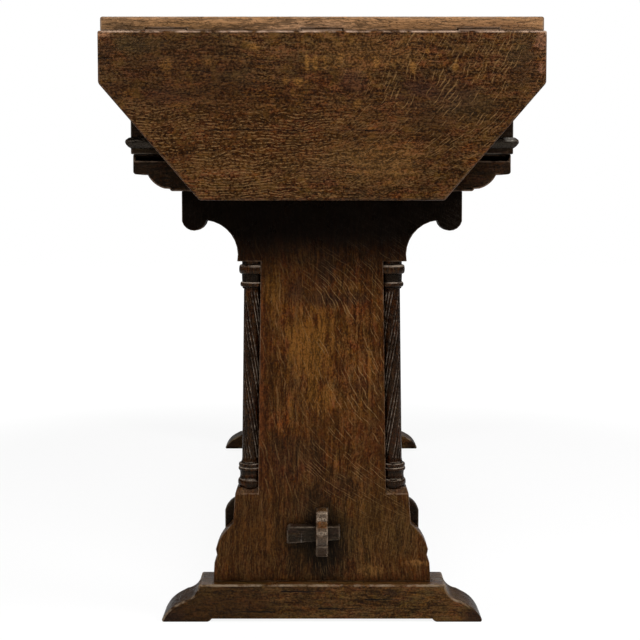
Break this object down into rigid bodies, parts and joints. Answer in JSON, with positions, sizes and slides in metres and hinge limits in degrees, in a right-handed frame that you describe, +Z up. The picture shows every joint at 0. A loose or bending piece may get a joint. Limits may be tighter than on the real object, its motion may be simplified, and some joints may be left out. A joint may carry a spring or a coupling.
{
  "type": "side table",
  "caption": "Long narrow oak side table on keyed trestles, with turned columns, shaped feet, a beaded frieze and a drop leaf on iron stays at each end.",
  "frame": {"origin": "on the floor, midway between the trestles, under the middle of the top", "axes": "+Z up, +Y along the length from the near leaf to the far leaf, +X across to the right as seen from the near end"},
  "size_m": [0.535, 1.2884, 0.76],
  "materials": {
    "top_oak": "waxed dark quarter-sawn oak, worn edges",
    "leaf_oak": "waxed dark quarter-sawn oak with ray flecks and small cracks",
    "frieze_oak": "dark waxed oak",
    "bearer_oak": "dark waxed oak",
    "upright_oak": "waxed mid-brown oak, dark at the edges",
    "column_oak": "dark waxed oak with carved spiral lines",
    "foot_oak": "waxed oak, worn pale on the upper edge",
    "cleat_oak": "dark oak",
    "stretcher_oak": "dark waxed oak",
    "inner_oak": "unwaxed oak",
    "hinge_iron": "old dark iron",
    "stay_iron": "old dark wrought iron",
    "screw_iron": "old dark iron"
  },
  "bodies": {
    "frame": {"left_top_board": "top_oak", "middle_top_board": "top_oak", "right_top_board": "top_oak", "near_clamp": "top_oak", "far_clamp": "top_oak", "left_rail": "frieze_oak", "right_rail": "frieze_oak", "near_end_rail": "frieze_oak", "far_end_rail": "frieze_oak", "near_bead": "frieze_oak", "far_bead": "frieze_oak", "left_bead": "frieze_oak", "right_bead": "frieze_oak", "near_bearer": "bearer_oak", "far_bearer": "bearer_oak", "bearer_pegs": "bearer_oak", "near_upright": "upright_oak", "far_upright": "upright_oak", "near_left_column": "column_oak", "near_right_column": "column_oak", "far_left_column": "column_oak", "far_right_column": "column_oak", "near_foot": "foot_oak", "far_foot": "foot_oak", "near_cleat": "cleat_oak", "far_cleat": "cleat_oak", "stretcher": "stretcher_oak", "near_cross_rail": "inner_oak", "far_cross_rail": "inner_oak", "glue_blocks": "inner_oak", "near_fixed_flaps": "hinge_iron", "far_fixed_flaps": "hinge_iron", "near_hinge_pins": "hinge_iron", "far_hinge_pins": "hinge_iron", "near_stay_lugs": "stay_iron", "far_stay_lugs": "stay_iron", "near_stay_pins": "stay_iron", "far_stay_pins": "stay_iron", "near_cleat_screws": "screw_iron", "far_cleat_screws": "screw_iron", "bearer_screws": "screw_iron", "near_flap_screws": "screw_iron", "far_flap_screws": "screw_iron", "lug_screws": "screw_iron"},
    "near_leaf": {"near_leaf": "leaf_oak", "near_leaf_flaps": "hinge_iron", "near_leaf_screws": "screw_iron", "near_strike_plates": "stay_iron"},
    "near_stays": {"near_left_stay": "stay_iron", "near_right_stay": "stay_iron"},
    "near_key": {"near_key": "stretcher_oak"},
    "far_leaf": {"far_leaf": "leaf_oak", "far_leaf_flaps": "hinge_iron", "far_leaf_screws": "screw_iron", "far_strike_plates": "stay_iron"},
    "far_stays": {"far_left_stay": "stay_iron", "far_right_stay": "stay_iron"},
    "far_key": {"far_key": "stretcher_oak"}
  },
  "joints": [
    {"name": "near_leaf_hinge", "type": "hinge", "parent": "frame", "child": "near_leaf", "pos_m": [0, -0.6255, 0.74125], "axis": [-1, 0, 0], "range_deg": [0, 90]},
    {"name": "near_stays_swing", "type": "hinge", "parent": "frame", "child": "near_stays", "pos_m": [0, -0.601, 0.666], "axis": [-1, 0, 0], "range_deg": [0, 127.8]},
    {"name": "near_key_slide", "type": "slide", "parent": "frame", "child": "near_key", "axis": [-1, 0, 0], "range_m": [0, 0.035]},
    {"name": "far_leaf_hinge", "type": "hinge", "parent": "frame", "child": "far_leaf", "pos_m": [0, 0.6255, 0.74125], "axis": [1, 0, 0], "range_deg": [0, 90]},
    {"name": "far_stays_swing", "type": "hinge", "parent": "frame", "child": "far_stays", "pos_m": [0, 0.601, 0.666], "axis": [1, 0, 0], "range_deg": [0, 127.8]},
    {"name": "far_key_slide", "type": "slide", "parent": "frame", "child": "far_key", "axis": [-1, 0, 0], "range_m": [0, 0.035]}
  ],
  "couplings": [
    {"joint": "near_stays_swing", "follows": "near_leaf_hinge", "ratio": 1.4197},
    {"joint": "far_stays_swing", "follows": "far_leaf_hinge", "ratio": 1.4197}
  ]
}
